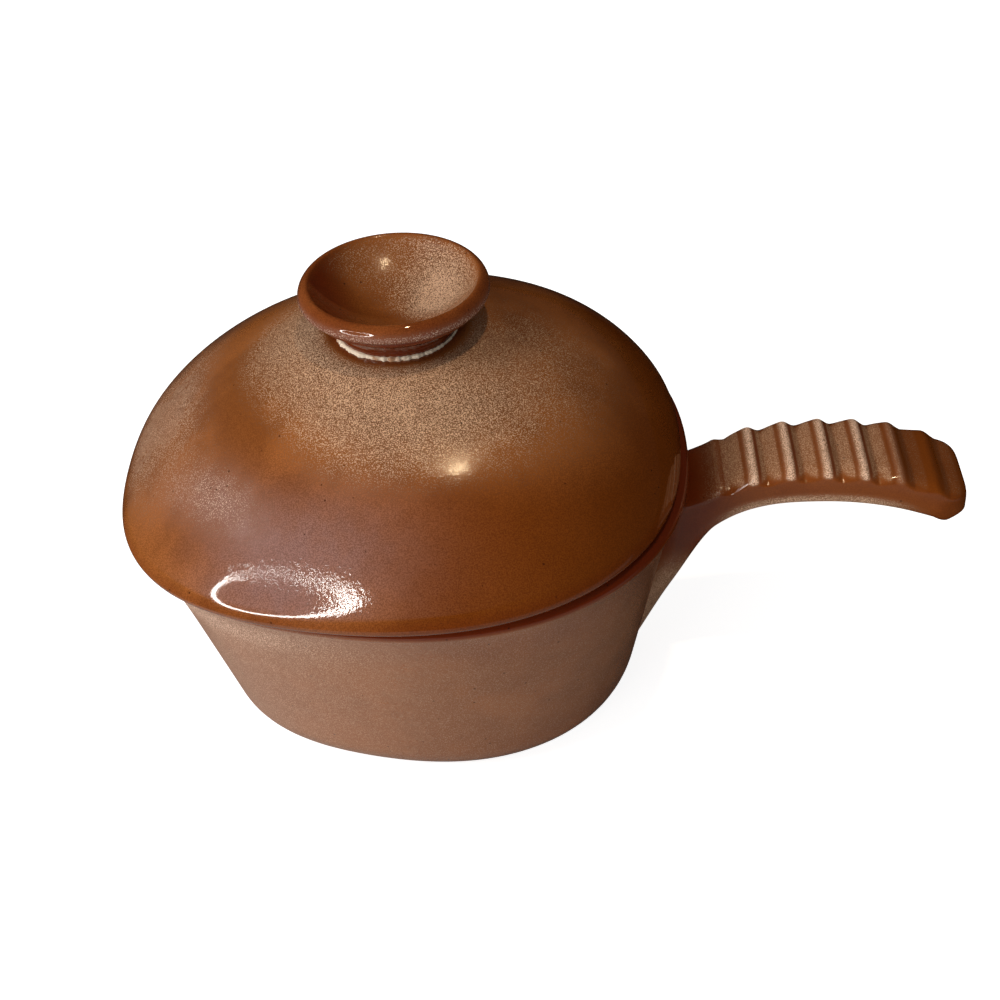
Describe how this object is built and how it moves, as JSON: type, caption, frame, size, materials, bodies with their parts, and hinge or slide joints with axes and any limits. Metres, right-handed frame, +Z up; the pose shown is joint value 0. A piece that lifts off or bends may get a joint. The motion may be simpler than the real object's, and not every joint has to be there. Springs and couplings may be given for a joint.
{
  "type": "covered serving pot",
  "caption": "Brown-glazed stoneware pot: tapering round bowl with an arched, ribbed side handle, and a loose domed lid with a dished knob.",
  "frame": {"origin": "on the knob's axis, in the flat face that the pot stands on", "axes": "+Z up, +X along the handle away from the bowl, +Y away from the viewer of the picture"},
  "size_m": [0.315, 0.204, 0.1717],
  "materials": {
    "pot_glaze": "mottled tan-brown satin glaze",
    "lid_glaze": "mottled orange-brown and tan satin glaze",
    "bare_clay": "unglazed cream stoneware"
  },
  "bodies": {
    "pot": {"bowl": "pot_glaze", "handle": "pot_glaze"},
    "cover": {"lid": "lid_glaze", "knob": "lid_glaze", "joint_ring": "bare_clay"}
  },
  "joints": [
    {"name": "lid_lift", "type": "slide", "parent": "pot", "child": "cover", "axis": [0, 0, 1], "range_m": [0, 0.16]}
  ]
}
